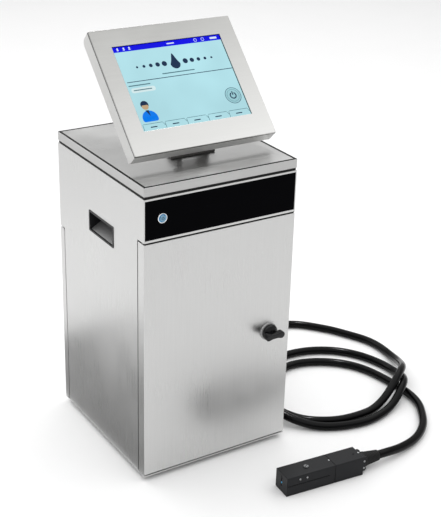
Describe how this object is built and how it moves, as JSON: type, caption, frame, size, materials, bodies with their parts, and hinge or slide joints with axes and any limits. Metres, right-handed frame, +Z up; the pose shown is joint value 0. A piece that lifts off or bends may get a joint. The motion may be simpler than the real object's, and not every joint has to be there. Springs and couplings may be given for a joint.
{
  "type": "date code inkjet printer",
  "caption": "Steel cabinet inkjet coder with a tilting touch screen, doors front and rear, and a print head on a long hose that lies on the floor.",
  "frame": {"origin": "centre of the four bolt holes through the feet, on the floor plane", "axes": "+Z up, -Y towards the front door, +X towards the hose side"},
  "size_m": [0.6895, 0.5562, 0.7658],
  "materials": {
    "stainless": "vertically brushed stainless steel sheet",
    "rubber_black": "matte black rubber",
    "plated_steel": "zinc plated steel",
    "panel_black": "polished black acrylic",
    "black_plastic": "black moulded plastic",
    "chrome": "bright chrome",
    "button_lens": "blue lit lens",
    "latch_grey": "light grey plastic",
    "latch_black": "glossy black plastic",
    "board_green": "green circuit board",
    "rocker_red": "red rocker",
    "tank_natural": "natural polyethylene",
    "cap_blue": "blue plastic",
    "motor_grey": "grey painted metal",
    "coupler_brass": "machined brass",
    "machined_steel": "machined stainless steel",
    "filter_clear": "pale blue filter housing",
    "tube_clear": "milky tubing",
    "stand_dark": "black powder coat",
    "screen_shell": "light grey moulded housing",
    "screen_face": "satin grey bezel",
    "display": "lit display behind glass",
    "hose_black": "ribbed black hose",
    "head_dark": "satin charcoal coating"
  },
  "bodies": {
    "cabinet": {"base_pan": "stainless", "rubber_feet": "rubber_black", "stand_inserts": "plated_steel", "cabinet_shell": "stainless", "compartment_shelf": "stainless", "rear_panel": "stainless", "control_panel": "panel_black", "lid_seal": "rubber_black", "lid": "stainless", "left_handle_cup": "black_plastic", "right_handle_cup": "black_plastic", "button_barrel": "chrome", "door_pivots": "plated_steel", "door_gasket": "rubber_black", "controller_board": "board_green", "power_supply": "plated_steel", "fan_housing": "black_plastic", "fan_guard": "plated_steel", "mains_inlet": "black_plastic", "switch_frame": "black_plastic", "data_sockets": "plated_steel", "hydraulics_plate": "plated_steel", "ink_tank": "tank_natural", "makeup_tank": "tank_natural", "pump_motor": "motor_grey", "pump_head": "machined_steel", "filter_canisters": "filter_clear", "valve_manifold": "machined_steel", "solenoid_valves": "black_plastic", "fluid_tubes": "tube_clear", "screen_stand": "stand_dark", "tilt_pin": "chrome", "umbilical_gland": "black_plastic", "umbilical_hose": "hose_black", "hose_boot": "rubber_black", "head_body": "head_dark", "head_flange": "head_dark", "head_deck": "machined_steel", "nozzle_unit": "coupler_brass", "deflector_plates": "machined_steel", "ink_gutter": "machined_steel"},
    "front_door": {"front_door": "stainless", "latch_barrel": "latch_grey"},
    "front_latch": {"latch_knob": "latch_black", "latch_cam": "plated_steel"},
    "rear_door": {"rear_door": "stainless"},
    "upper_latch": {"rear_latch_upper": "plated_steel"},
    "lower_latch": {"rear_latch_lower": "plated_steel"},
    "screen": {"screen_housing": "screen_shell", "screen_bezel": "screen_face", "touch_panel": "display", "display_module": "board_green"},
    "power_button": {"button_cap": "button_lens"},
    "mains_switch": {"switch_rocker": "rocker_red"},
    "fan": {"fan_rotor": "black_plastic"},
    "pump_drive": {"pump_coupler": "coupler_brass"},
    "ink_cap": {"ink_tank_cap": "black_plastic"},
    "makeup_cap": {"makeup_tank_cap": "cap_blue"},
    "head_cover": {"head_cover": "head_dark"},
    "head_screw": {"cover_screw": "chrome"}
  },
  "joints": [
    {"name": "front_door_hinge", "type": "hinge", "parent": "cabinet", "child": "front_door", "pos_m": [-0.145, -0.156, 0.014], "axis": [0, 0, -1], "range_deg": [0, 25]},
    {"name": "front_latch_turn", "type": "hinge", "parent": "front_door", "child": "front_latch", "pos_m": [0.105, -0.1625, 0.24], "axis": [0, 1, 0], "range_deg": [0, 90]},
    {"name": "rear_door_hinge", "type": "hinge", "parent": "cabinet", "child": "rear_door", "pos_m": [-0.145, 0.1575, 0.014], "axis": [0, 0, 1], "range_deg": [0, 110]},
    {"name": "upper_latch_turn", "type": "hinge", "parent": "rear_door", "child": "upper_latch", "pos_m": [0.107, 0.1625, 0.3], "axis": [0, 1, 0], "range_deg": [0, 90]},
    {"name": "lower_latch_turn", "type": "hinge", "parent": "rear_door", "child": "lower_latch", "pos_m": [0.107, 0.1625, 0.09], "axis": [0, 1, 0], "range_deg": [0, 90]},
    {"name": "screen_tilt", "type": "hinge", "parent": "cabinet", "child": "screen", "pos_m": [0, -0.053, 0.5932], "axis": [1, 0, 0], "range_deg": [-45, 19]},
    {"name": "power_button_press", "type": "slide", "parent": "cabinet", "child": "power_button", "axis": [0, 1, 0], "range_m": [0, 0.002], "stiffness_N_per_m": 600},
    {"name": "mains_switch_tilt", "type": "hinge", "parent": "cabinet", "child": "mains_switch", "pos_m": [0.066, 0.1585, 0.505], "axis": [-1, 0, 0], "range_deg": [0, 16]},
    {"name": "fan_spin", "type": "hinge", "parent": "cabinet", "child": "fan", "pos_m": [-0.085, 0.15, 0.423], "axis": [0, 1, 0], "continuous": true},
    {"name": "pump_spin", "type": "hinge", "parent": "cabinet", "child": "pump_drive", "pos_m": [-0.01, 0.078, 0.0745], "axis": [1, 0, 0], "continuous": true},
    {"name": "ink_cap_turn", "type": "hinge", "parent": "cabinet", "child": "ink_cap", "pos_m": [-0.06, -0.059, 0.2178], "axis": [0, 0, 1], "range_deg": [0, 270]},
    {"name": "makeup_cap_turn", "type": "hinge", "parent": "cabinet", "child": "makeup_cap", "pos_m": [0.06, -0.059, 0.2178], "axis": [0, 0, 1], "range_deg": [0, 270]},
    {"name": "head_cover_slide", "type": "slide", "parent": "cabinet", "child": "head_cover", "axis": [-0.9966, 0.0819, 0], "range_m": [0, 0.11]},
    {"name": "cover_screw_turn", "type": "hinge", "parent": "head_cover", "child": "head_screw", "pos_m": [0.09673, -0.31076, 0.038], "axis": [0, 0, 1], "continuous": true}
  ]
}
